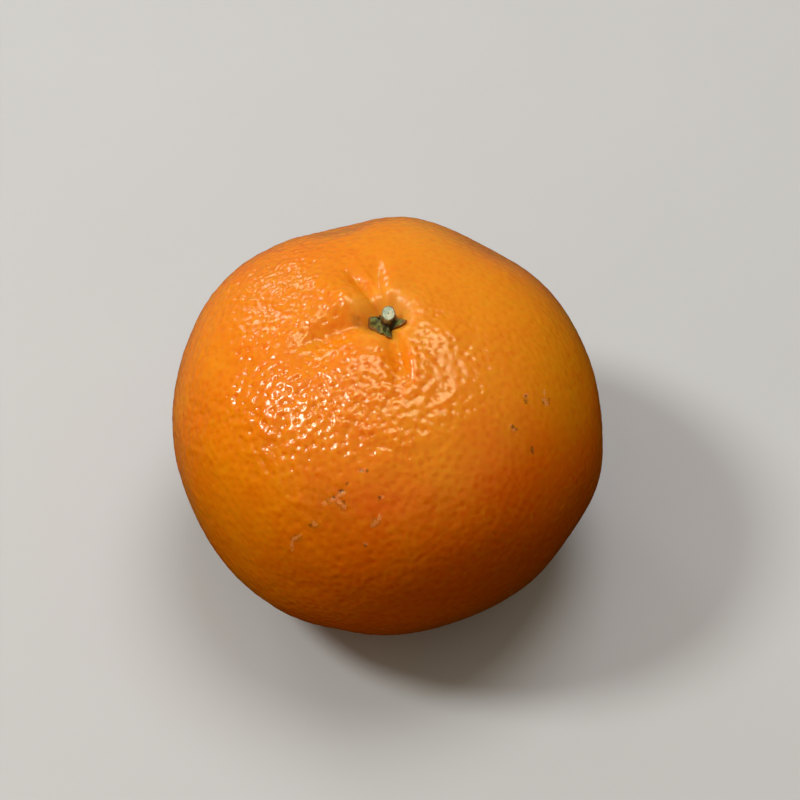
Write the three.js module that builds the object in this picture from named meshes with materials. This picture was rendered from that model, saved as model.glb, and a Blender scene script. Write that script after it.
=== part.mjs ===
// A mandarin as picked: one fruit with puffy, furrowed skin, its small dry calyx
// and the short stub of its cut stem. Millimetres, +Z up, resting on its blossom end.

import * as THREE from 'three';
import { mergeVertices } from 'three/addons/utils/BufferGeometryUtils.js';

const radians = THREE.MathUtils.degToRad;
const smooth = THREE.MathUtils.smoothstep;

// The body, measured from its centre: half widths, and how square its outline is
const body = { equator: 32.25, top: 26.2, bottom: 25.7, squareness: 2.3 };
const skinStep = 30; // millimetres of skin per radian from the stem

const stemPit = { depth: 2.7, width: 3.05, steepness: 3 };
const blossomPit = { depth: 0.9, width: 2.6 };
const restRadius = 10;

// Broad swellings and hollows: where (degrees round, degrees from the stem),
// how wide (degrees) and how high
const swellings = [
  { azimuth: 20, polar: 76, spread: 26, rise: -0.4 },
  { azimuth: 54, polar: 57, spread: 13, rise: -1.0 },
  { azimuth: 84, polar: 50, spread: 14, rise: 0.5 },
  { azimuth: 106, polar: 54, spread: 10, rise: -1.2 },
  { azimuth: 144, polar: 66, spread: 17, rise: 0.8 },
  { azimuth: 201, polar: 103, spread: 15, rise: -0.5 },
  { azimuth: 240, polar: 110, spread: 12, rise: 0.2 },
  { azimuth: 256, polar: 119, spread: 7, rise: -0.7 },
  { azimuth: 295, polar: 120, spread: 17, rise: -0.6 },
  { azimuth: 330, polar: 108, spread: 10, rise: -0.5 },
  { azimuth: 348, polar: 98, spread: 13, rise: 0.7 },
];

// Knobs that the furrows leave standing round the stem
const knobs = [
  { azimuth: 235, polar: 17, spread: 8, rise: 0.55 },
  { azimuth: 284, polar: 17.5, spread: 8, rise: 0.7 },
  { azimuth: 340, polar: 19.5, spread: 5.5, rise: 0.4 },
  { azimuth: 4, polar: 8.5, spread: 9.5, rise: 0.85 },
  { azimuth: 78, polar: 11, spread: 7, rise: 0.6 },
  { azimuth: 152, polar: 14, spread: 4.5, rise: 0.9 },
  { azimuth: 148, polar: 24, spread: 7, rise: 0.9 },
];

// Furrows that run out from the stem: where they start and how they turn (degrees,
// degrees a millimetre), how far they reach, and how wide and deep they are.
// One with a lean is steeper on its anticlockwise side.
const furrowStart = 2;
const furrows = [
  { azimuth: 291, bend: -0.65, reach: 15, width: 1.2, depth: 1.5, lean: 0.4 },
  { azimuth: 188, bend: 0.8, reach: 18.5, width: 2.0, depth: 1.6, lean: -0.2 },
  { azimuth: 119, bend: 0.15, reach: 14, width: 0.9, depth: 1.2, lean: 0 },
  { azimuth: 103, bend: -0.4, reach: 16, width: 1.0, depth: 0.75, lean: -0.2 },
  { azimuth: 65, bend: -0.3, reach: 13, width: 1.5, depth: 0.3, lean: 0 },
  { azimuth: 0, bend: -0.3, reach: 13, width: 2.1, depth: 0.25, lean: 0 },
];

// Oil gland pits, drawn larger than life so that the skin reads as pitted
const pits = { shallow: 0.15, deep: 0.35, smoothSkin: 4, pittedSkin: 9 };

// The net of the skin: splits along an edge of the icosahedron, and how strongly
// the net is drawn in towards the stem
const skinNet = { splits: 23, drawnIn: 0.4 };

const fitGap = 0.3; // between pieces that grow on each other
const calyxForm = { core: 1.4, thickness: 0.7, rim: 0.4, rings: 5, sides: 48 };
const sepals = [
  { azimuth: 333, reach: 3.15, spread: 32 },
  { azimuth: 45, reach: 1.85, spread: 27 },
  { azimuth: 90, reach: 1.9, spread: 24 },
  { azimuth: 130, reach: 1.9, spread: 20 },
  { azimuth: 174, reach: 2.65, spread: 38 },
  { azimuth: 238, reach: 2.5, spread: 22 },
  { azimuth: 279, reach: 3.1, spread: 28 },
];
const stemForm = { radius: 0.98, foot: 1.1, height: 1.5, bevel: 0.1, tilt: 28, sides: 32 };

// A swelling's rise in a direction from the body's centre
function swellingRise({ azimuth, polar, spread, rise }, direction) {
  const middle = new THREE.Vector3().setFromSphericalCoords(1, radians(polar), radians(azimuth));
  middle.set(middle.z, middle.x, middle.y);
  return rise * Math.exp((middle.dot(direction) - 1) / (1 - Math.cos(radians(spread))));
}

// A furrow's depth in a direction, at a given distance from the axis
function furrowDepth({ azimuth, bend, reach, width, depth, lean }, direction, outward) {
  const along = Math.acos(THREE.MathUtils.clamp(direction.z, -1, 1)) * skinStep;
  const turn = Math.atan2(direction.y, direction.x) - radians(azimuth + bend * along);
  if (Math.cos(turn) <= 0) return 0;
  const across = outward * Math.sin(turn);
  const opening = (0.35 + 0.65 * smooth(along, 0, 8)) * (1 + along / 40);
  const side = across > 0 ? 1 - lean : 1 + lean;
  const run = smooth(along, 0, 2 * furrowStart) * (1 - smooth(along, 0.55 * reach, reach));
  return depth * run * Math.exp(-((across / (width * opening * side)) ** 2));
}

// How far the skin lies from the body's centre in a direction
function skinRadius(direction) {
  const half = direction.z > 0 ? body.top : body.bottom;
  const sideways = Math.hypot(direction.x, direction.y);
  const n = body.squareness;
  let radius = ((sideways / body.equator) ** n + (Math.abs(direction.z) / half) ** n) ** (-1 / n);
  for (const swelling of [...swellings, ...knobs]) {
    radius += swellingRise(swelling, direction);
  }
  const outward = radius * sideways;
  if (direction.z > 0) {
    for (const furrow of furrows) {
      radius -= furrowDepth(furrow, direction, outward);
    }
    radius -= stemPit.depth * Math.exp(-((outward / stemPit.width) ** stemPit.steepness));
  }
  return radius;
}

// Height of the skin above the body's centre, at a place near the stem
function skinHeight(x, y) {
  const direction = new THREE.Vector3();
  let height = body.top;
  for (let step = 0; step < 8; step++) {
    direction.set(x, y, height).normalize();
    height = skinRadius(direction) * direction.z;
  }
  return height;
}

// The net of directions: an icosahedron's, drawn in towards the stem
function skinDirections() {
  const net = new THREE.IcosahedronGeometry(1, skinNet.splits);
  net.deleteAttribute('normal');
  net.deleteAttribute('uv');
  const merged = mergeVertices(net, 1e-5);
  const places = merged.attributes.position;
  const direction = new THREE.Vector3();
  for (let i = 0; i < places.count; i++) {
    direction.fromBufferAttribute(places, i).normalize();
    const polar = Math.acos(THREE.MathUtils.clamp(direction.z, -1, 1));
    const round = Math.atan2(direction.y, direction.x);
    const drawn = polar - skinNet.drawnIn * Math.sin(polar);
    places.setXYZ(i, Math.sin(drawn) * Math.cos(round), Math.sin(drawn) * Math.sin(round), Math.cos(drawn));
  }
  return merged;
}

// Pits are dealt out over the net's corners in a shuffled order: a pit takes each
// corner that has no pit beside it
function pitCorners(net) {
  const beside = Array.from({ length: net.attributes.position.count }, () => new Set());
  const corners = net.index.array;
  for (let i = 0; i < corners.length; i += 3) {
    for (let k = 0; k < 3; k++) {
      beside[corners[i + k]].add(corners[i + ((k + 1) % 3)]);
      beside[corners[i + ((k + 1) % 3)]].add(corners[i + k]);
    }
  }
  const order = beside.map((others, corner) => [THREE.MathUtils.seededRandom(corner + 1), corner]);
  order.sort((a, b) => a[0] - b[0]);
  const pitted = new Set();
  const closed = new Set();
  for (const [, corner] of order) {
    if (closed.has(corner)) continue;
    pitted.add(corner);
    for (const other of beside[corner]) closed.add(other);
  }
  return pitted;
}

// Height of the flat spot that the fruit rests on, from the body's centre
function restHeight() {
  const { equator, bottom, squareness } = body;
  return -bottom * (1 - (restRadius / equator) ** squareness) ** (1 / squareness);
}

function fruitGeometry() {
  const skin = skinDirections();
  const pitted = pitCorners(skin);
  const places = skin.attributes.position;
  const floor = restHeight();
  const point = new THREE.Vector3();
  for (let i = 0; i < places.count; i++) {
    point.fromBufferAttribute(places, i);
    const along = Math.acos(THREE.MathUtils.clamp(point.z, -1, 1)) * skinStep;
    let radius = skinRadius(point);
    if (pitted.has(i)) {
      const depth = THREE.MathUtils.lerp(pits.shallow, pits.deep, THREE.MathUtils.seededRandom(i + 1));
      radius -= depth * smooth(along, pits.smoothSkin, pits.pittedSkin);
    }
    point.multiplyScalar(radius);
    if (point.z < floor) {
      const outward = Math.hypot(point.x, point.y);
      point.z = floor + blossomPit.depth * (1 - smooth(outward, 0, 2 * blossomPit.width));
    }
    places.setXYZ(i, point.x, point.y, point.z);
  }
  skin.computeVertexNormals();
  return skin;
}

// Outline of the calyx: the core's edge, with a pointed sepal at each azimuth
function calyxReach(round) {
  let reach = calyxForm.core;
  for (const sepal of sepals) {
    const turn = THREE.MathUtils.euclideanModulo(round - radians(sepal.azimuth) + Math.PI, 2 * Math.PI) - Math.PI;
    const share = Math.max(0, 1 - Math.abs(turn) / radians(sepal.spread));
    reach = Math.max(reach, calyxForm.core + (sepal.reach - calyxForm.core) * share ** 0.8);
  }
  return reach;
}

// The calyx lies on the skin: a ring of points for its underside and one for its top
// at each step out from the middle, closed over the middle and round the edge
function calyxGeometry(seatHeight) {
  const { rings, sides, rim, core } = calyxForm;
  const places = [];
  const corners = [];
  const middle = skinHeight(0, 0) + fitGap;
  places.push(0, 0, middle, 0, 0, seatHeight);
  for (let ring = 1; ring <= rings; ring++) {
    for (let side = 0; side < sides; side++) {
      const round = (2 * Math.PI * side) / sides;
      const out = (calyxReach(round) * ring) / rings;
      const x = out * Math.cos(round);
      const y = out * Math.sin(round);
      const under = skinHeight(x, y) + fitGap;
      const over = THREE.MathUtils.lerp(seatHeight, under + rim, smooth(out, core, core + 0.5));
      places.push(x, y, under, x, y, Math.max(over, under + rim));
    }
  }
  const corner = (ring, side, isTop) => 2 + 2 * ((ring - 1) * sides + (side % sides)) + isTop;
  for (let side = 0; side < sides; side++) {
    corners.push(0, corner(1, side + 1, 0), corner(1, side, 0));
    corners.push(1, corner(1, side, 1), corner(1, side + 1, 1));
    for (let ring = 1; ring < rings; ring++) {
      const under = [corner(ring, side, 0), corner(ring, side + 1, 0)];
      const underOut = [corner(ring + 1, side, 0), corner(ring + 1, side + 1, 0)];
      const over = [corner(ring, side, 1), corner(ring, side + 1, 1)];
      const overOut = [corner(ring + 1, side, 1), corner(ring + 1, side + 1, 1)];
      corners.push(under[0], under[1], underOut[1], under[0], underOut[1], underOut[0]);
      corners.push(over[0], overOut[0], overOut[1], over[0], overOut[1], over[1]);
    }
    const edge = [corner(rings, side, 0), corner(rings, side + 1, 0)];
    const edgeTop = [corner(rings, side, 1), corner(rings, side + 1, 1)];
    corners.push(edge[0], edge[1], edgeTop[1], edge[0], edgeTop[1], edgeTop[0]);
  }
  const calyx = new THREE.BufferGeometry();
  calyx.setAttribute('position', new THREE.Float32BufferAttribute(places, 3));
  calyx.setIndex(corners);
  calyx.computeVertexNormals();
  return calyx;
}

// The stub is turned about the axis, and its cut end then slopes down towards the front
function stemGeometry() {
  const { radius, foot, height, bevel, tilt, sides } = stemForm;
  const profile = [
    new THREE.Vector2(0, 0),
    new THREE.Vector2(foot, 0),
    new THREE.Vector2(0.5 * (foot + radius), 0.2 * height),
    new THREE.Vector2(radius, 0.45 * height),
    new THREE.Vector2(radius, height - bevel),
    new THREE.Vector2(radius - bevel, height),
    new THREE.Vector2(0, height),
  ];
  const stub = new THREE.LatheGeometry(profile, sides);
  stub.rotateX(Math.PI / 2);
  const places = stub.attributes.position;
  for (let i = 0; i < places.count; i++) {
    const share = smooth(places.getZ(i), 0.45 * height, 0.9 * height);
    places.setZ(i, places.getZ(i) + share * Math.tan(radians(tilt)) * places.getY(i));
  }
  stub.computeVertexNormals();
  return stub;
}

function piece(name, geometry, material) {
  const mesh = new THREE.Mesh(geometry, new THREE.MeshStandardMaterial(material));
  mesh.name = name;
  return mesh;
}

const seatHeight = skinHeight(0, 0) + fitGap + calyxForm.thickness;
const fruit = piece('fruit', fruitGeometry(), { color: 0xe8791a, roughness: 0.3, metalness: 0 });
const calyx = piece('calyx', calyxGeometry(seatHeight), { color: 0x4d5a34, roughness: 0.75, metalness: 0 });
const stem = piece('stem', stemGeometry(), { color: 0x5a5a44, roughness: 0.7, metalness: 0 });
stem.position.z = seatHeight + fitGap;

// The origin is on the resting surface, under the middle of the fruit's outline
const mandarin = new THREE.Group();
mandarin.add(fruit, calyx, stem);
const extent = new THREE.Box3().setFromObject(fruit);
const middle = extent.getCenter(new THREE.Vector3());
mandarin.position.set(-middle.x, -middle.y, -extent.min.z);

export default mandarin;
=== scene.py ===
import math

import bmesh
import bpy
import numpy as np
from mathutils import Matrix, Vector
from mathutils.kdtree import KDTree


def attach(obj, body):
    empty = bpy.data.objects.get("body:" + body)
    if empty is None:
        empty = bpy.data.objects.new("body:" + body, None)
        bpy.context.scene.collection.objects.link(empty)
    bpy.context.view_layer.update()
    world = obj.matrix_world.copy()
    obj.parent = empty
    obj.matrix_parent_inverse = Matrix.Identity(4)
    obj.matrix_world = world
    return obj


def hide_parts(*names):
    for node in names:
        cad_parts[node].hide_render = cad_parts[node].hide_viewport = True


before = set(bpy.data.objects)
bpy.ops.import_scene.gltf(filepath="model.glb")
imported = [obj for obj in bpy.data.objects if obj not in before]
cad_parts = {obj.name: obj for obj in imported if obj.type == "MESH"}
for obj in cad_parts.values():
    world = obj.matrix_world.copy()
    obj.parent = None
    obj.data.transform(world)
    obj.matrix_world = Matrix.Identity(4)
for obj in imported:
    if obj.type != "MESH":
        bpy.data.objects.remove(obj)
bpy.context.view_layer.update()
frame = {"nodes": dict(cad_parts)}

mm = 0.001
print("frame loaded with", ", ".join(frame["nodes"]))

# The fruit's form in millimetres from the middle of its body, the same as in part.mjs
fruit = {
    "equator": 32.25, "top": 26.2, "bottom": 25.7, "squareness": 2.3,
    "skinStep": 30,                            # millimetres of skin per radian from the stem
    "pitDepth": 2.7, "pitWidth": 3.05, "pitSteepness": 3,
    "restRadius": 10, "blossomDepth": 0.9, "blossomWidth": 2.6,
    "swellings": [                             # degrees round, degrees from the stem, spread, rise
        (20, 76, 26, -0.4), (54, 57, 13, -1.0), (84, 50, 14, 0.5), (106, 54, 10, -1.2),
        (144, 66, 17, 0.8), (201, 103, 15, -0.5), (240, 110, 12, 0.2), (256, 119, 7, -0.7),
        (295, 120, 17, -0.6), (330, 108, 10, -0.5), (348, 98, 13, 0.7),
        (235, 17, 8, 0.55), (284, 17.5, 8, 0.7), (340, 19.5, 5.5, 0.4), (4, 8.5, 9.5, 0.85),
        (78, 11, 7, 0.6), (152, 14, 4.5, 0.9), (148, 24, 7, 0.9),
    ],
    "furrowStart": 2,
    "furrows": [                               # degrees round, turn per mm, reach, width, depth, lean
        (291, -0.65, 15, 1.2, 1.5, 0.4), (188, 0.8, 18.5, 2.0, 1.6, -0.2), (119, 0.15, 14, 0.9, 1.2, 0),
        (103, -0.4, 16, 1.0, 0.75, -0.2), (65, -0.3, 13, 1.5, 0.3, 0), (0, -0.3, 13, 2.1, 0.25, 0),
    ],
    "cuts": 98, "drawnIn": 0.4,                # the skin's net
    "glandSeed": 11, "glandSpacing": 1.05, "glandDepth": (0.05, 0.14), "glandRadius": (0.32, 0.45),
    "glandReach": 2.1,                         # how far round its middle a gland presses the skin
    "crowding": 0.2, "crowdingLength": (9, 20), "crowdingLimits": (0.72, 1.4),
    # how deep the glands are everywhere, and round more pitted places; then the same for how dark the pits
    # are painted, partly the glands' own deeper orange and partly painted shade in the pits
    "pitted": 0.85, "pittedPlaces": [
        (245, 34, 34, 0.75), (290, 76, 36, 0.1), (235, 56, 16, 0.25), (215, 95, 40, 0.3),
        (150, 42, 26, 0.5), (205, 50, 20, 0.4), (40, 60, 45, -0.15), (105, 75, 30, 0.3),
    ],
    "uneven": 0.4, "unevenLength": (6, 14),    # smoother and rougher patches all over
    "tinted": 0.4, "tintedPlaces": [(280, 75, 48, 0.6), (245, 30, 25, 0.3)],
    "rippleHeight": 0.06, "rippleLength": (1.3, 2.4),
    "waveHeight": 0.05, "waveLength": (3, 5),
    "ruckHeight": 0.09, "ruckLength": (6, 12),
    # the relief everywhere, and round rougher places: degrees round, from the stem, spread, added
    "relief": 0.25, "roughPlaces": [
        (245, 34, 30, 0.75), (150, 42, 26, 0.45), (215, 85, 40, 0.1), (205, 50, 20, 0.3),
        (300, 75, 40, -0.15), (110, 75, 30, 0.35), (252, 19.5, 4, -0.5), (242, 29.5, 4, -0.5),
        (315, 27, 4.5, -0.45), (325, 19, 4, -0.4), (267, 35.5, 3, -0.5), (229, 42, 3, -0.5),
    ],
    # fine folds that run out from the stem: their height, how far they reach, how many go round
    "foldHeight": 0.02, "foldReach": 6, "folds": (17, 29), "foldTurn": 0.6,
}


def smooth(value, low, high):
    share = np.clip((value - low) / (high - low), 0, 1)
    return share * share * (3 - 2 * share)


def waves(points, seed, count, lengths):
    # plane waves in random directions, added up; about -1 to 1
    dice = np.random.default_rng(seed)
    total = np.zeros(len(points))
    for _ in range(count):
        way = dice.normal(size=3)
        way *= 2 * math.pi / dice.uniform(*lengths) / np.linalg.norm(way)
        total += np.cos(points @ way + dice.uniform(0, 2 * math.pi))
    return total / math.sqrt(count)


def wayTo(azimuth, polar):
    # the direction to a place on the skin, from degrees round and degrees from the stem
    a, p = math.radians(azimuth), math.radians(polar)
    return Vector((math.sin(p) * math.cos(a), math.sin(p) * math.sin(a), math.cos(p)))


def skinRadius(ways):
    half = np.where(ways[:, 2] > 0, fruit["top"], fruit["bottom"])
    level = np.hypot(ways[:, 0], ways[:, 1])
    n = fruit["squareness"]
    radius = ((level / fruit["equator"]) ** n + (np.abs(ways[:, 2]) / half) ** n) ** (-1 / n)
    for azimuth, polar, spread, rise in fruit["swellings"]:
        nearness = ways @ np.array(wayTo(azimuth, polar))
        radius += rise * np.exp((nearness - 1) / (1 - math.cos(math.radians(spread))))
    upper = ways[:, 2] > 0
    outward = radius * level
    along = np.arccos(np.clip(ways[:, 2], -1, 1)) * fruit["skinStep"]
    for azimuth, bend, reach, width, depth, lean in fruit["furrows"]:
        turn = np.arctan2(ways[:, 1], ways[:, 0]) - np.radians(azimuth + bend * along)
        across = outward * np.sin(turn)
        opening = (0.35 + 0.65 * smooth(along, 0, 8)) * (1 + along / 40)
        side = np.where(across > 0, 1 - lean, 1 + lean)
        run = smooth(along, 0, 2 * fruit["furrowStart"]) * (1 - smooth(along, 0.55 * reach, reach))
        groove = depth * run * np.exp(-(across / (width * opening * side)) ** 2)
        radius -= groove * upper * (np.cos(turn) > 0)
    stemPit = fruit["pitDepth"] * np.exp(-(outward / fruit["pitWidth"]) ** fruit["pitSteepness"])
    return radius - stemPit * upper


def skinHeight(x, y):
    height = np.full(x.shape, float(fruit["top"]))
    for _ in range(8):
        ways = np.column_stack((x.ravel(), y.ravel(), height.ravel()))
        ways /= np.linalg.norm(ways, axis=1, keepdims=True)
        height = (skinRadius(ways) * ways[:, 2]).reshape(x.shape)
    return height


def restHeight():
    n = fruit["squareness"]
    return -fruit["bottom"] * (1 - (fruit["restRadius"] / fruit["equator"]) ** n) ** (1 / n)


def setPoints(mesh, points):
    mesh.vertices.foreach_set("co", np.ascontiguousarray(points * mm, dtype=np.float32).ravel())
    mesh.update()


def setMask(mesh, name, values):
    layer = mesh.attributes.new(name, "FLOAT", "POINT")
    layer.data.foreach_set("value", np.ascontiguousarray(values, dtype=np.float32))


def addPiece(name, mesh, material, node):
    piece = bpy.data.objects.new(name, mesh)
    bpy.context.scene.collection.objects.link(piece)
    mesh.shade_smooth()
    mesh.materials.append(material)
    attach(piece, "root")
    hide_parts(node)
    print(name, "made of", len(mesh.polygons), "faces")
    return piece


# Short ways to add shader nodes; a value may be a number, a colour or another node's socket
def put(tree, socket, value):
    if isinstance(value, bpy.types.NodeSocket):
        tree.links.new(value, socket)
    elif value is not None:
        socket.default_value = value


def addNode(tree, kind, inputs=(), **settings):
    node = tree.nodes.new(kind)
    for key, value in settings.items():
        setattr(node, key, value)
    for name, value in dict(inputs).items():
        put(tree, node.inputs[name], value)
    return node


def maths(tree, operation, *values):
    return addNode(tree, "ShaderNodeMath", enumerate(values), operation=operation).outputs[0]


def vectorMaths(tree, operation, *values, output="Vector"):
    node = addNode(tree, "ShaderNodeVectorMath", enumerate(values), operation=operation)
    return node.outputs[output]


def noise(tree, place, size, detail=2.0, output="Fac"):
    # size is the width of a blotch in millimetres
    inputs = {"Vector": place, "Scale": 1 / (size * mm), "Detail": detail}
    return addNode(tree, "ShaderNodeTexNoise", inputs).outputs[output]


def ramp(tree, value, low, high, start=0.0, end=1.0):
    inputs = {"Value": value, "From Min": low, "From Max": high, "To Min": start, "To Max": end}
    return addNode(tree, "ShaderNodeMapRange", inputs, interpolation_type="SMOOTHSTEP").outputs["Result"]


def blend(tree, share, first, second, way="MIX"):
    node = addNode(tree, "ShaderNodeMix", data_type="RGBA", blend_type=way)
    put(tree, node.inputs[0], share)
    put(tree, node.inputs[6], first)
    put(tree, node.inputs[7], second)
    return node.outputs[2]


def readMask(tree, name):
    return addNode(tree, "ShaderNodeAttribute", attribute_name=name).outputs["Fac"]


def bump(tree, height, depth):
    # depth is the relief in millimetres between a height of 0 and 1
    inputs = {"Height": height, "Distance": depth * mm, "Strength": 1.0}
    return addNode(tree, "ShaderNodeBump", inputs).outputs["Normal"]


def newMaterial(name):
    material = bpy.data.materials.new(name)
    material.use_nodes = True
    tree = material.node_tree
    place = addNode(tree, "ShaderNodeTexCoord").outputs["Object"]
    return material, tree, place


def setShader(tree, **sockets):
    shader = tree.nodes["Principled BSDF"]
    for name, value in sockets.items():
        put(tree, shader.inputs[name.replace("_", " ")], value)


# The skin starts as a finely split icosahedron, its points drawn in to the stem
def skinNet():
    net = bmesh.new()
    bmesh.ops.create_icosphere(net, subdivisions=1, radius=1)
    bmesh.ops.subdivide_edges(net, edges=net.edges[:], cuts=fruit["cuts"], use_grid_fill=True)
    mesh = bpy.data.meshes.new("fruit")
    net.to_mesh(mesh)
    net.free()
    flat = np.empty(3 * len(mesh.vertices))
    mesh.vertices.foreach_get("co", flat)
    ways = flat.reshape(-1, 3)
    ways /= np.linalg.norm(ways, axis=1, keepdims=True)
    polar = np.arccos(np.clip(ways[:, 2], -1, 1))
    polar -= fruit["drawnIn"] * np.sin(polar)
    around = np.arctan2(ways[:, 1], ways[:, 0])
    ways = np.column_stack((np.sin(polar) * np.cos(around), np.sin(polar) * np.sin(around), np.cos(polar)))
    return mesh, ways


def pressGlands(points):
    # oil glands dealt out in shuffled order, none closer than the spacing to another one
    dice = np.random.default_rng(fruit["glandSeed"])
    tree = KDTree(len(points))
    for index, point in enumerate(points):
        tree.insert(point, index)
    tree.balance()
    pressed = np.zeros(len(points))
    nearness = np.zeros(len(points))
    taken = np.zeros(len(points), dtype=bool)
    crowding = 1 + fruit["crowding"] * waves(points, 12, 24, fruit["crowdingLength"])
    crowding = np.clip(crowding, *fruit["crowdingLimits"])
    glands = 0
    for index in dice.permutation(len(points)):
        if taken[index]:
            continue
        glands += 1
        spacing = fruit["glandSpacing"] * crowding[index]
        depth = dice.uniform(*fruit["glandDepth"])
        radius = dice.uniform(*fruit["glandRadius"])
        for _, other, distance in tree.find_range(points[index], fruit["glandReach"]):
            if distance < spacing:
                taken[other] = True
            falloff = math.exp(-(distance / radius) ** 2)
            pressed[other] += depth * falloff
            nearness[other] = max(nearness[other], falloff)
    print(glands, "oil glands pressed into the peel")
    return pressed, nearness


def nearPlaces(ways, start, places):
    # a value that is the start everywhere, and more round each place
    total = np.full(len(ways), float(start))
    for azimuth, polar, spread, added in places:
        near = ways @ np.array(wayTo(azimuth, polar))
        total += added * np.exp((near - 1) / (1 - math.cos(math.radians(spread))))
    return total


def buildFruit():
    mesh, ways = skinNet()
    points = ways * skinRadius(ways)[:, None]
    # the frame's origin is under the middle of the fruit, on the floor
    shift = np.array((-(points[:, 0].min() + points[:, 0].max()) / 2,
                      -(points[:, 1].min() + points[:, 1].max()) / 2, -restHeight()))
    along = np.arccos(np.clip(ways[:, 2], -1, 1)) * fruit["skinStep"]
    around = np.arctan2(ways[:, 1], ways[:, 0])
    pressed, nearness = pressGlands(points)
    grown = smooth(along, 3, 8)
    strength = nearPlaces(ways, fruit["relief"], fruit["roughPlaces"]) * grown
    strength *= np.clip(1 + fruit["uneven"] * waves(points, 25, 20, fruit["unevenLength"]), 0.2, 2)
    pitted = nearPlaces(ways, fruit["pitted"], fruit["pittedPlaces"]) * grown
    relief = fruit["rippleHeight"] * waves(points, 21, 70, fruit["rippleLength"]) * strength
    relief += fruit["waveHeight"] * waves(points, 23, 50, fruit["waveLength"]) * strength ** 2
    relief += fruit["ruckHeight"] * waves(points, 22, 40, fruit["ruckLength"]) * strength
    relief -= pressed * pitted
    first, second = fruit["folds"]
    folds = np.cos(first * around + fruit["foldTurn"] * along) + np.cos(second * around + 2)
    relief += fruit["foldHeight"] * folds * np.exp(-(along / fruit["foldReach"]) ** 2)
    points += ways * relief[:, None]
    outward = np.hypot(points[:, 0], points[:, 1])
    floor = restHeight() + fruit["blossomDepth"] * (1 - smooth(outward, 0, 2 * fruit["blossomWidth"]))
    points[:, 2] = np.maximum(points[:, 2], floor)
    setPoints(mesh, points + shift)
    # the mask of the darkened gland pits: partly the glands' own deeper orange, partly painted shade in the
    # pits
    setMask(mesh, "gland", nearness * nearPlaces(ways, fruit["tinted"], fruit["tintedPlaces"]))
    setMask(mesh, "relief", strength)
    return mesh, shift


# Peel: blotchy orange, with tinted patches, corky scars and dark specks; painted shade darkens the gland
# pits and deepens the orange low on the fruit
peel = {
    "orange": (0.84, 0.26, 0.002, 1), "ripe": (0.83, 0.225, 0.001, 1), "golden": (0.86, 0.325, 0.003, 1),
    # this tint darkens the gland pits, partly their own deeper orange and partly painted shade, and also
    # the random dark flecks
    "gland": (0.90, 0.55, 0.40, 1), "glandShare": 0.34, "fleck": 0.2,
    "patches": [                               # degrees round, from the stem, spread, strength, colour
        # painted shade: the deep red-orange patches low on the fruit, at 295, 255, 308 and 345 degrees
        # round, deepen the orange where the shade falls redder
        (40, 45, 62, 0.6, (0.86, 0.32, 0.012, 1)), (295, 105, 75, 0.85, (0.84, 0.165, 0.001, 1)),
        (0, 0, 16, 0.6, (0.82, 0.36, 0.03, 1)), (318, 53, 9, 0.25, (0.60, 0.27, 0.003, 1)),
        (345, 58, 22, 0.25, (0.66, 0.27, 0.003, 1)), (40, 53, 17, 0.25, (0.84, 0.19, 0.004, 1)),
        (256, 66, 22, 0.4, (0.80, 0.15, 0.001, 1)), (252, 60, 9, 0.4, (0.66, 0.18, 0.002, 1)),
        (72, 44, 14, 0.4, (0.82, 0.35, 0.02, 1)),
        (255, 125, 40, 0.5, (0.84, 0.16, 0.001, 1)), (308, 74, 36, 0.6, (0.84, 0.15, 0.001, 1)),
        (345, 100, 42, 0.5, (0.84, 0.14, 0.001, 1)),
        (0, 180, 7, 0.7, (0.30, 0.11, 0.02, 1)),
    ],
    "roughness": 0.19, "matte": 0.45, "grain": 1.0, "grainDepth": 0.04, "pore": 0.8, "poreDepth": 0.03,
    # how the light bends into the peel, how far it wanders there, in millimetres, and how far by colour
    "bending": 1.45, "inside": 1.7, "insideColours": (1.0, 0.4, 0.15),
}
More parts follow.
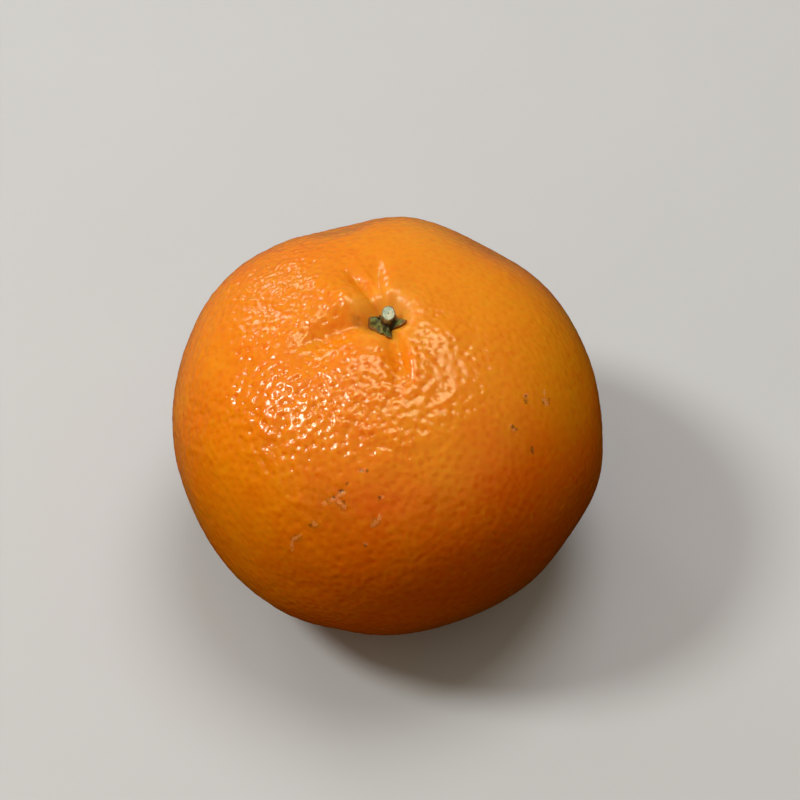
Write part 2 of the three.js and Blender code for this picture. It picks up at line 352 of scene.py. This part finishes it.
marks = {
    # each stroke: its half width in millimetres and its places, in degrees round and from the stem
    "scab": {
        "colour": (0.42, 0.14, 0.012, 1), "strength": 0.6, "rise": 0,
        "strokes": [
            (0.55, (251.5, 57.9), (254.1, 56.6), (257.3, 58.4)), (0.49, (254.1, 56.4), (256.6, 54.0)),
            (0.55, (248.6, 64.6), (249.8, 64.5)), (0.59, (244.0, 71.2), (246.2, 68.8)),
            (0.55, (265.4, 62.2), (267.5, 60.2)), (0.42, (331.8, 46.9), (330.2, 47.7)),
            (0.49, (336.2, 51.7), (335.8, 52.9)), (0.44, (318.9, 49.2), (319.3, 50.3)),
            (0.72, (179.4, 10.2), (181.5, 9.0)), (0.35, (178.9, 10.6), (179.6, 10.1)),
        ],
    },
    "cork": {
        "colour": (0.92, 0.35, 0.10, 1), "strength": 0.8, "rise": 0.03,
        "strokes": [
            (0.26, (252.4, 57.4), (254.1, 56.4), (256.4, 57.5), (257.6, 58.6)),
            (0.26, (254.1, 56.4), (255.1, 55.3), (256.5, 54.4)), (0.26, (250.3, 58.5), (251.6, 58.1)),
            (0.26, (248.9, 64.2), (249.7, 64.4)),
            (0.21, (246.5, 68.4), (245.2, 69.6), (243.9, 70.8), (244.5, 74.8)),
            (0.29, (265.2, 62.3), (267.4, 60.8), (267.8, 58.9)), (0.23, (267.8, 54.5), (268.6, 54.6)),
            (0.29, (261.8, 48.2)), (0.26, (263.8, 67.1)),
            (0.26, (331.5, 46.5), (332.9, 46.4), (332.9, 47.3)),
            (0.30, (336.2, 51.5), (336.1, 53.0), (335.3, 52.3)), (0.22, (339.6, 50.9), (337.6, 51.6)),
            (0.26, (318.6, 49.7), (319.3, 50.3)), (0.21, (319.0, 48.4)),
            (0.26, (33.0, 51.1), (34.0, 51.6)), (0.23, (181.8, 8.6), (183.0, 8.2)),
        ],
    },
    "speck": {
        "colour": (0.13, 0.032, 0.004, 1), "strength": 0.82, "rise": -0.04,
        "strokes": [
            (0.21, (254.8, 54.5), (255.8, 54.2)), (0.18, (253.4, 56.4)), (0.18, (256.6, 56.9)),
            (0.18, (256.8, 52.2)), (0.21, (260.8, 48.3)), (0.23, (262.8, 48.2)), (0.18, (248.4, 64.9)),
            (0.21, (267.4, 54.8)), (0.18, (263.8, 67.7)), (0.22, (332.2, 46.8)),
            (0.27, (330.6, 47.5), (329.9, 47.9)), (0.17, (335.2, 52.0)), (0.17, (336.7, 53.4)),
            (0.16, (337.8, 53.2)), (0.20, (319.4, 48.8), (319.1, 49.3)), (0.18, (319.7, 50.3)),
            (0.27, (320.7, 56.5), (319.6, 58.1)),
        ],
    },
}


def strokesMask(tree, place, strokes):
    # a stroke is a slim ellipse: the two ways to its ends add up to little more than its length
    nearest = None
    for halfWidth, *places in strokes:
        for first, last in zip(places, places[1:] or places):
            start, end = wayTo(*first) * fruit["skinStep"], wayTo(*last) * fruit["skinStep"]
            length = (end - start).length
            spare = math.hypot(length, 2 * halfWidth) - length
            ways = vectorMaths(tree, "DISTANCE", place, start, output="Value")
            toEnd = vectorMaths(tree, "DISTANCE", place, end, output="Value") if length else ways
            far = maths(tree, "MULTIPLY_ADD", maths(tree, "ADD", ways, toEnd), 1 / spare, -length / spare)
            nearest = far if nearest is None else maths(tree, "MINIMUM", nearest, far)
    return ramp(tree, nearest, 1.7, 0.5)


def peelMaterial(shift):
    material, tree, place = newMaterial("peel")
    toSkin = vectorMaths(tree, "SUBTRACT", place, Vector(shift) * mm)
    way = vectorMaths(tree, "NORMALIZE", toSkin)
    colour = blend(tree, ramp(tree, noise(tree, place, 13, 3), 0.38, 0.68), peel["orange"], peel["ripe"])
    other = vectorMaths(tree, "ADD", place, Vector((0.3, 0.1, 0.2)))
    colour = blend(tree, ramp(tree, noise(tree, other, 20, 2), 0.5, 0.75, 0, 0.7), colour, peel["golden"])
    wobble = noise(tree, place, 9, 3)
    for azimuth, polar, spread, strength, tint in peel["patches"]:
        near = vectorMaths(tree, "DOT_PRODUCT", way, wayTo(azimuth, polar), output="Value")
        edge = math.cos(math.radians(spread))
        sway = maths(tree, "MULTIPLY", maths(tree, "SUBTRACT", wobble, 0.5), 1 - edge)
        near = maths(tree, "ADD", near, sway)
        colour = blend(tree, ramp(tree, near, edge, 1.0, 0, strength), colour, tint)
    # the gland pits are darkened: partly the oil glands' own deeper orange, partly painted shade in the
    # pits
    dark = maths(tree, "MULTIPLY", readMask(tree, "gland"), peel["glandShare"])
    colour = blend(tree, dark, colour, peel["gland"], "MULTIPLY")
    fleck = ramp(tree, noise(tree, place, 0.9, 2), 0.5, 0.72, 0, peel["fleck"])
    colour = blend(tree, fleck, colour, peel["golden"])
    dark = ramp(tree, noise(tree, other, 1.3, 2), 0.5, 0.72, 0, peel["fleck"])
    colour = blend(tree, dark, colour, peel["gland"], "MULTIPLY")
    skin = addNode(tree, "ShaderNodeVectorMath", operation="SCALE")
    put(tree, skin.inputs[0], way)
    put(tree, skin.inputs["Scale"], fruit["skinStep"])
    shaky = noise(tree, place, 0.35, 2, output="Color")
    shaky = vectorMaths(tree, "MULTIPLY_ADD", vectorMaths(tree, "SUBTRACT", shaky, Vector((0.5, 0.5, 0.5))),
                        Vector((0.7, 0.7, 0.7)), skin.outputs["Vector"])
    height = maths(tree, "MULTIPLY", noise(tree, place, peel["grain"], 1), peel["grainDepth"])
    crumbs = ramp(tree, noise(tree, place, 0.22, 1), 0.35, 0.6, 0.35, 1)
    for kind in marks.values():
        mask = maths(tree, "MULTIPLY", strokesMask(tree, shaky, kind["strokes"]), crumbs)
        mask = maths(tree, "MULTIPLY", mask, kind["strength"])
        colour = blend(tree, mask, colour, kind["colour"])
        height = maths(tree, "MULTIPLY_ADD", mask, kind["rise"], height)
    pores = addNode(tree, "ShaderNodeTexVoronoi", {"Vector": place, "Scale": 1 / (peel["pore"] * mm)})
    pores = ramp(tree, pores.outputs["Distance"], 0.1, 0.5, -peel["poreDepth"], 0)
    height = maths(tree, "MULTIPLY_ADD", pores, readMask(tree, "relief"), height)
    level = vectorMaths(tree, "MULTIPLY", toSkin, Vector((1, 1, 0)))
    toAxis = vectorMaths(tree, "LENGTH", level, output="Value")
    rough = ramp(tree, toAxis, 2.5 * mm, 5.5 * mm, peel["matte"], peel["roughness"])
    setShader(tree, Base_Color=colour, Roughness=rough, IOR=peel["bending"], Normal=bump(tree, height, 1.0),
              Subsurface_Weight=1.0, Subsurface_Radius=peel["insideColours"],
              Subsurface_Scale=peel["inside"] * mm)
    return material


fruitMesh, middle = buildFruit()
addPiece("mandarin_fruit", fruitMesh, peelMaterial(middle), "fruit")


# Calyx: one small star of sepals round the stem, lying in the hollow
calyx = {
    "core": 1.4, "thickness": 1.3, "blade": 0.3, "rim": 0.12, "rows": 32, "sides": 220,
    "edgeWave": 0.06, "faceWave": 0.05,        # how ragged the edge is, and how lumpy the face
    "sepals": [                                # degrees round, reach, half width, bluntness, curl
        (335, 3.2, 28, 0.95, 0.6), (5, 1.75, 20, 1.5, 0.6), (45, 1.75, 24, 1.5, 0.2),
        (88, 1.85, 24, 1.5, 0.2), (124, 1.65, 18, 1.5, 0.8), (174, 2.6, 32, 1.8, 0.2),
        (216, 1.9, 18, 1.2, 0.1), (236, 2.3, 15, 1.3, 0.1), (251, 2.75, 8, 1.4, 0.15),
        (276, 2.95, 19, 3.0, 0.2),
    ],
    # places on it: degrees round, millimetres from the stem, spread, amount
    "mounds": [
        (172, 1.75, 0.5, 0.6), (150, 1.7, 0.35, 0.3), (281, 2.2, 0.3, 0.3), (282, 1.5, 0.35, 0.5),
        (342, 1.7, 0.45, 0.6), (335, 2.3, 0.35, 0.3), (225, 1.2, 0.3, -0.4), (306, 1.6, 0.35, -0.6),
        (262, 1.4, 0.2, -0.35), (245, 1.4, 0.2, 0.4), (148, 1.1, 0.25, -0.5), (4, 1.35, 0.35, 0.5),
    ],
    "shadows": [
        (300, 0.95, 0.4, 1.0), (330, 1.2, 0.35, 1.0), (306, 1.5, 0.35, 0.95), (308, 2.1, 0.3, 0.8),
        (262, 1.7, 0.15, 0.8), (260, 2.4, 0.14, 0.7), (210, 1.2, 0.25, 0.7), (124, 1.6, 0.4, 1.0),
        (150, 1.2, 0.3, 0.8), (232, 2.0, 0.25, 0.6), (298, 2.7, 0.2, 0.7), (270, 0.9, 0.3, 0.9),
    ],
    "withered": [
        (179, 2.75, 0.5, 1.0), (198, 2.0, 0.4, 1.0), (225, 2.1, 0.45, 1.0), (250, 2.8, 0.5, 1.0),
        (279, 3.15, 0.4, 0.9), (335, 3.15, 0.55, 1.0), (315, 2.7, 0.35, 0.9), (3, 1.5, 0.5, 1.0),
        (60, 1.7, 0.7, 1.0), (95, 1.8, 0.6, 1.0),
    ],
    "pale": [
        (195, 0.95, 0.16, 0.6), (228, 1.15, 0.18, 0.7), (245, 1.5, 0.18, 0.7), (251, 1.9, 0.18, 0.7),
        (243, 2.2, 0.18, 0.6), (315, 2.55, 0.2, 0.7), (324, 2.5, 0.18, 0.7), (5, 1.6, 0.2, 0.4),
    ],
    "green": (0.055, 0.060, 0.016, 1), "fresh": (0.18, 0.21, 0.045, 1), "brown": (0.24, 0.08, 0.008, 1),
    "beige": (0.36, 0.28, 0.12, 1), "shadow": (0.030, 0.015, 0.002, 1),
}


def spots(x, y, places):
    total = np.zeros(np.shape(x))
    for azimuth, distance, spread, amount in places:
        a = math.radians(azimuth)
        far = np.hypot(x - distance * math.cos(a), y - distance * math.sin(a))
        total += amount * np.exp(-(far / spread) ** 2)
    return total


def buildCalyx(shift):
    rows, sides = calyx["rows"], calyx["sides"]
    around = np.linspace(0, 2 * math.pi, sides, endpoint=False)
    reach = np.full(sides, calyx["core"])
    blade = np.zeros(sides)
    curl = np.zeros(sides)
    for azimuth, length, half, bluntness, lift in calyx["sepals"]:
        turn = np.abs((around - math.radians(azimuth) + math.pi) % (2 * math.pi) - math.pi)
        share = np.clip(1 - (turn / math.radians(half)) ** bluntness, 0, 1) ** 0.8
        reach = np.maximum(reach, calyx["core"] + (length - calyx["core"]) * share)
        curl = np.where(share > blade, lift, curl)
        blade = np.maximum(blade, share)
    circle = np.column_stack((np.cos(around), np.sin(around), 0 * around)) * 3
    reach += calyx["edgeWave"] * waves(circle, 32, 12, (0.7, 1.5))
    share = np.linspace(0, 1, rows + 1)[1:, None]
    out = share * reach
    x, y = out * np.cos(around), out * np.sin(around)
    skin = skinHeight(x, y)
    beyond = smooth(out, calyx["core"] * 0.6, calyx["core"] * 1.3)
    thick = calyx["thickness"] * (1 - beyond) + calyx["blade"] * beyond
    thick += np.maximum(spots(x, y, calyx["mounds"]), calyx["rim"] - thick)
    face = np.column_stack((x.ravel(), y.ravel(), skin.ravel()))
    thick += calyx["faceWave"] * waves(face, 31, 24, (0.5, 1.4)).reshape(x.shape)
    thick += (calyx["rim"] - thick) * smooth(share, 0.8, 1)
    lift = curl * beyond * share ** 3
    top = skin + lift + thick
    under = skin + lift * 0.6 - 0.06
    centre = skinHeight(np.zeros(1), np.zeros(1))[0]
    points = [(0, 0, centre - 0.06), (0, 0, centre + calyx["thickness"])]
    edge = 0.7 * smooth(np.arange(1, rows + 1) / rows, 0.85, 1)
    edge = np.concatenate(([0, 0], np.repeat(edge, 2 * sides)))
    for row in range(rows):
        for side in range(sides):
            points.append((x[row, side], y[row, side], under[row, side]))
            points.append((x[row, side], y[row, side], top[row, side]))

    def corner(row, side, isTop):
        return 2 + 2 * (row * sides + side % sides) + isTop

    faces = []
    for side in range(sides):
        faces.append((0, corner(0, side + 1, 0), corner(0, side, 0)))
        faces.append((1, corner(0, side, 1), corner(0, side + 1, 1)))
        for row in range(rows - 1):
            faces.append((corner(row, side, 0), corner(row, side + 1, 0),
                          corner(row + 1, side + 1, 0), corner(row + 1, side, 0)))
            faces.append((corner(row, side, 1), corner(row + 1, side, 1),
                          corner(row + 1, side + 1, 1), corner(row, side + 1, 1)))
        faces.append((corner(rows - 1, side, 0), corner(rows - 1, side + 1, 0),
                      corner(rows - 1, side + 1, 1), corner(rows - 1, side, 1)))
    points = np.array(points)
    mesh = bpy.data.meshes.new("calyx")
    mesh.from_pydata((points + shift) * mm, [], faces)
    for name in ("shadows", "withered", "pale"):
        values = spots(points[:, 0], points[:, 1], calyx[name]) + (edge if name == "withered" else 0)
        setMask(mesh, name, np.clip(values, 0, 1))
    return mesh


def calyxMaterial():
    material, tree, place = newMaterial("calyx")
    fleck = noise(tree, place, 0.8, 3)
    colour = blend(tree, ramp(tree, noise(tree, place, 0.7, 3), 0.42, 0.62), calyx["green"], calyx["fresh"])
    uneven = maths(tree, "SUBTRACT", fleck, 0.5)
    for name, tint in (("withered", "brown"), ("pale", "beige"), ("shadows", "shadow")):
        share = maths(tree, "ADD", readMask(tree, name), uneven)
        colour = blend(tree, ramp(tree, share, 0.15, 0.85), colour, calyx[tint])
    setShader(tree, Base_Color=colour, Roughness=0.6, Normal=bump(tree, noise(tree, place, 0.25, 2), 0.06))
    return material


addPiece("mandarin_calyx", buildCalyx(middle), calyxMaterial(), "calyx")


# Stem stub: a short woody peg with a slanting cut across its top
stem = {
    "foot": 0.85, "radius": 0.98, "wood": 0.80, "start": 0.4, "height": 2.75, "slant": 28, "leanRight": 0.3,
    "sides": 96, "sideRows": 30, "capRows": 14,
    "barkColours": ((0.11, 0.085, 0.035, 1), (0.30, 0.22, 0.09, 1)),
    # the foot colour is painted shade for the stub's foot, which stands in the hollow under the sepals
    "barkFootShade": (0.05, 0.028, 0.006, 1), "barkTop": (0.42, 0.30, 0.12, 1),
    "cutColours": ((0.66, 0.66, 0.52, 1), (0.40, 0.53, 0.46, 1)),
    "cutSpots": (0.24, 0.27, 0.20, 1), "pith": (0.16, 0.2, 0.16, 1),
}


def buildStem(shift):
    sides = stem["sides"]
    around = np.linspace(0, 2 * math.pi, sides, endpoint=False)
    ridges = 0.035 * np.cos(5 * around + 1) + 0.025 * np.cos(9 * around) + 0.02 * np.cos(14 * around + 2)
    rings = []                                 # share of the height, radius, ridge, cut
    for share in np.linspace(0, 1, stem["sideRows"] + 1):
        flare = (stem["foot"] - stem["radius"]) * (1 - share) ** 2.2
        rounding = (stem["radius"] - stem["wood"]) * 0.3 * max(0, (share - 0.94) / 0.06) ** 2
        rings.append((share, stem["radius"] + flare - rounding, 1 - 0.5 * share, 0))
    rings.append((1, stem["wood"] + 0.02, 0.5, 0))
    for share in np.linspace(1, 0, stem["capRows"], endpoint=False):
        rings.append((1 - 0.012 * (1 - share), stem["wood"] * share, 0.5 * share, 1))
    base = skinHeight(np.zeros(1), np.zeros(1))[0] + stem["start"]
    length = stem["height"] - stem["start"]
    points = [(0, 0, base)]
    cut = [0]
    height = [0]
    for share, radius, ridge, isCut in rings:
        slope = math.tan(math.radians(stem["slant"])) * smooth(share, 0.2, 0.95)
        for side in range(sides):
            out = radius + ridge * ridges[side]
            x, y = out * math.cos(around[side]), out * math.sin(around[side])
            points.append((x + stem["leanRight"] * share, y, base + length * share + slope * y))
            cut.append(isCut)
            height.append(share)
    points.append((stem["leanRight"], 0, base + length * 0.988))
    cut.append(1)
    height.append(1)

    def corner(ring, side):
        return 1 + ring * sides + side % sides

    faces = []
    last = len(rings) - 1
    for side in range(sides):
        faces.append((0, corner(0, side + 1), corner(0, side)))
        faces.append((len(points) - 1, corner(last, side), corner(last, side + 1)))
        for ring in range(last):
            faces.append((corner(ring, side), corner(ring, side + 1),
                          corner(ring + 1, side + 1), corner(ring + 1, side)))
    mesh = bpy.data.meshes.new("stem")
    mesh.from_pydata((np.array(points) + shift) * mm, [], faces)
    setMask(mesh, "cut", cut)
    setMask(mesh, "height", height)
    far = np.hypot(np.array(points)[:, 0] - stem["leanRight"], np.array(points)[:, 1])
    setMask(mesh, "fromPith", far / stem["wood"])
    return mesh


def stemMaterial():
    material, tree, place = newMaterial("stem")
    bark = blend(tree, ramp(tree, noise(tree, place, 0.6, 3), 0.4, 0.65), *stem["barkColours"])
    wood = blend(tree, ramp(tree, noise(tree, place, 0.7, 2), 0.4, 0.62), *stem["cutColours"])
    wood = blend(tree, ramp(tree, noise(tree, place, 0.3, 2), 0.5, 0.72, 0, 0.6), wood, stem["cutSpots"])
    wood = blend(tree, ramp(tree, readMask(tree, "fromPith"), 0.24, 0.12, 0, 0.7), wood, stem["pith"])
    raised = maths(tree, "ADD", readMask(tree, "height"), noise(tree, place, 0.4, 2))
    # painted shade: the bark darkens towards the stub's foot, in the hollow under the sepals
    bark = blend(tree, ramp(tree, raised, 1.35, 1.0), bark, stem["barkFootShade"])
    bark = blend(tree, ramp(tree, raised, 1.3, 1.6, 0, 0.4), bark, stem["barkTop"])
    colour = blend(tree, readMask(tree, "cut"), bark, wood)
    setShader(tree, Base_Color=colour, Roughness=0.6, Normal=bump(tree, noise(tree, place, 0.3, 2), 0.06))
    return material


addPiece("mandarin_stem", buildStem(middle), stemMaterial(), "stem")


# Floor, soft lights and camera
studio = {
    "floorSize": 6.0, "flatRadius": 1.0, "wallRise": 0.6,
    "floorLight": (0.57, 0.58, 0.66, 1), "floorDark": (0.54, 0.55, 0.625, 1),
    "worldColour": (1.0, 0.90, 0.64, 1), "worldTilt": (0.0, -0.12, 0.99),
    "worldColourLow": (1.0, 0.55, 0.08, 1), "worldLow": 0.018, "worldHigh": 0.37,
    "glowColour": (0.85, 0.95, 1.15, 1), "glowWay": (-0.40, 0.90, 0.10), "glow": 0.14,
    # name, direction from the fruit, distance, width, watts, colour, whether it lights and whether it
    # shines; a lamp that only shines stands a little nearer than the one behind it, which would hide it
    "lamps": [
        ("overhead", (0.13, 0.25, 0.96), 0.8, 0.41, 2.5, (1.0, 0.98, 0.90), True, False),
        ("overheadShine", (0.13, 0.25, 0.96), 0.78, 0.41, 2.65, (1.0, 1.02, 0.62), False, True),
        ("sparkle", (-0.625, 0.03, 0.78), 0.9, 0.20, 4.1, (0.97, 0.98, 0.84), True, True),
        ("window", (-0.50, 0.78, 0.40), 0.8, 0.20, 0.68, (1.0, 0.93, 0.85), True, True),
        ("fill", (-0.84, -0.53, 0.08), 0.8, 0.40, 0.80, (1.0, 0.64, 0.36), True, False),
        ("veilShine", (-0.16, 0.20, 0.965), 0.77, 0.25, 0.65, (1.0, 1.02, 0.62), False, True),
    ],
    "elevation": 54, "distance": 0.320, "lens": 95.4,
    "aimRight": 0.00196, "aimUp": 0.0037,      # the fruit sits a little left of and below the view's middle
}


def buildFloor():
    # flat under the fruit, and rising far out into a pale wall
    mesh = bpy.data.meshes.new("floor")
    grid = bmesh.new()
    bmesh.ops.create_grid(grid, x_segments=60, y_segments=60, size=studio["floorSize"] / 2)
    for corner in grid.verts:
        far = corner.co.length - studio["flatRadius"]
        corner.co.z = studio["wallRise"] * max(0, far) ** 2
    grid.to_mesh(mesh)
    grid.free()
    mesh.shade_smooth()
    floor = bpy.data.objects.new("floor", mesh)
    bpy.context.scene.collection.objects.link(floor)
    material, tree, place = newMaterial("floor")
    colour = blend(tree, noise(tree, place, 40, 3), studio["floorDark"], studio["floorLight"])
    setShader(tree, Base_Color=colour, Roughness=0.9)
    mesh.materials.append(material)
    floor.visible_glossy = False               # the peel neither mirrors the floor
    floor.visible_diffuse = False              # nor takes its light; the world below gives the fill
    floor.visible_shadow = False


def buildLights(target):
    for name, way, distance, width, watts, tint, lights, shines in studio["lamps"]:
        light = bpy.data.lights.new(name, "AREA")
        light.shape = "DISK"
        light.size = width
        light.energy = watts
        light.color = tint
        lamp = bpy.data.objects.new(name, light)
        lamp.location = target + Vector(way).normalized() * distance
        lamp.rotation_euler = Vector(way).to_track_quat("Z", "Y").to_euler()
        bpy.context.scene.collection.objects.link(lamp)
        lamp.visible_camera = False
        lamp.visible_diffuse = lights
        lamp.visible_glossy = shines
    world = bpy.data.worlds.new("studio")
    world.use_nodes = True
    tree = world.node_tree
    way = addNode(tree, "ShaderNodeTexCoord").outputs["Generated"]
    height = vectorMaths(tree, "DOT_PRODUCT", way, Vector(studio["worldTilt"]).normalized(), output="Value")
    strength = ramp(tree, height, -0.1, 1.0, studio["worldLow"], studio["worldHigh"])
    toGlow = vectorMaths(tree, "DOT_PRODUCT", way, Vector(studio["glowWay"]).normalized(), output="Value")
    glow = ramp(tree, toGlow, 0.3, 1.0, 0, studio["glow"])
    colour = blend(tree, ramp(tree, height, 0.0, 0.85), studio["worldColourLow"], studio["worldColour"])
    share = maths(tree, "DIVIDE", glow, maths(tree, "ADD", glow, strength))
    colour = blend(tree, share, colour, studio["glowColour"])
    put(tree, tree.nodes["Background"].inputs["Color"], colour)
    put(tree, tree.nodes["Background"].inputs["Strength"], maths(tree, "ADD", glow, strength))
    bpy.context.scene.world = world


def buildCamera(target):
    tilt = math.radians(studio["elevation"])
    up = Vector((0, math.sin(tilt), math.cos(tilt)))
    lens = bpy.data.cameras.new("camera")
    lens.lens = studio["lens"]
    lens.clip_start = 0.01
    camera = bpy.data.objects.new("camera", lens)
    camera.location = target + Vector((0, -math.cos(tilt), math.sin(tilt))) * studio["distance"]
    aim = target + Vector((studio["aimRight"], 0, 0)) + up * studio["aimUp"]
    camera.rotation_euler = (camera.location - aim).to_track_quat("Z", "Y").to_euler()
    bpy.context.scene.collection.objects.link(camera)
    bpy.context.scene.camera = camera


bodyCentre = Vector(middle) * mm
buildFloor()
buildLights(bodyCentre)
buildCamera(bodyCentre)
bpy.context.scene.view_settings.view_transform = "Standard"
bpy.context.scene.view_settings.look = "None"
print("studio ready")
